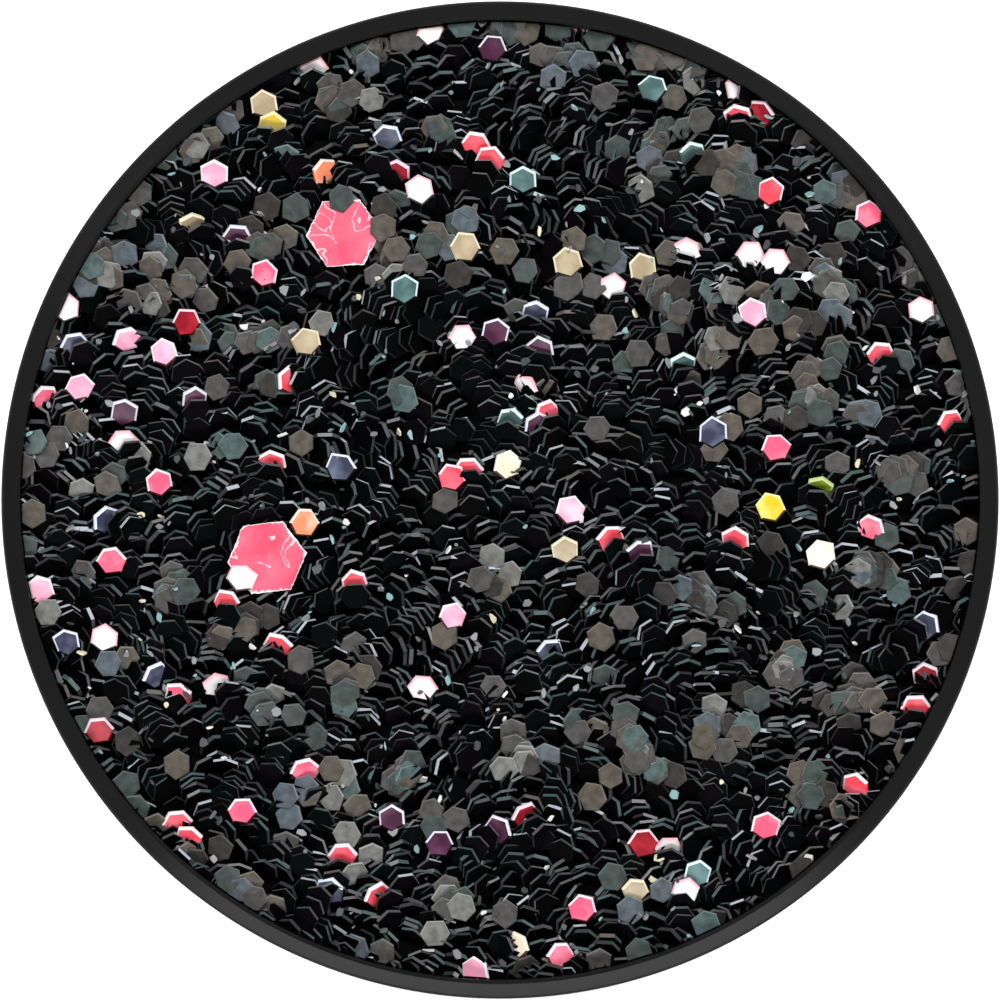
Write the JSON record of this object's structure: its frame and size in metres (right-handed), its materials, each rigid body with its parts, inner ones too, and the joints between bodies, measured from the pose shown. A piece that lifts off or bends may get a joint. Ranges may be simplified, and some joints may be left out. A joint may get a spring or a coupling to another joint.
{
  "type": "expanding phone grip",
  "caption": "Round collapsible phone grip: adhesive base, two-stage folding bellows and a twist-off top filled with chunky glitter under a clear face.",
  "frame": {"origin": "centre of the adhesive face, which is the lowest face", "axes": "+Z from the adhesive face to the glitter face; +Y is the top of the face as pictured; the twist lock's lugs lie along X when locked"},
  "size_m": [0.0398, 0.0398, 0.0247],
  "materials": {
    "adhesive": "tacky gel",
    "base_plastic": "fine matte",
    "bellows_rubber": "soft satin",
    "lock_plastic": "moulded satin",
    "rim_plastic": "matte",
    "backing": "matte film",
    "glitter": "glitter flakes in resin",
    "clear_face": "clear gloss"
  },
  "bodies": {
    "base": {"adhesive_pad": "adhesive", "base_plate": "base_plastic", "base_ring": "base_plastic", "bellows_foot": "bellows_rubber", "bellows_lower_cone": "bellows_rubber"},
    "tier": {"bellows_tier": "bellows_rubber", "bellows_upper_cone": "bellows_rubber"},
    "neck": {"bellows_neck": "bellows_rubber", "lock_socket": "lock_plastic"},
    "top": {"lock_plate": "lock_plastic", "top_platter": "rim_plastic", "backing_film": "backing", "glitter_bed": "glitter", "clear_cover": "clear_face"}
  },
  "joints": [
    {"name": "tier_slide", "type": "slide", "parent": "base", "child": "tier", "axis": [0, 0, 1], "range_m": [-0.0072, 0], "deforming": ["bellows_lower_cone"]},
    {"name": "neck_slide", "type": "slide", "parent": "tier", "child": "neck", "axis": [0, 0, 1], "range_m": [-0.0088, 0], "deforming": ["bellows_upper_cone"]},
    {"name": "top_twist", "type": "hinge", "parent": "neck", "child": "top", "pos_m": [0, 0, 0.01945], "axis": [0, 0, 1], "range_deg": [0, 90]}
  ]
}
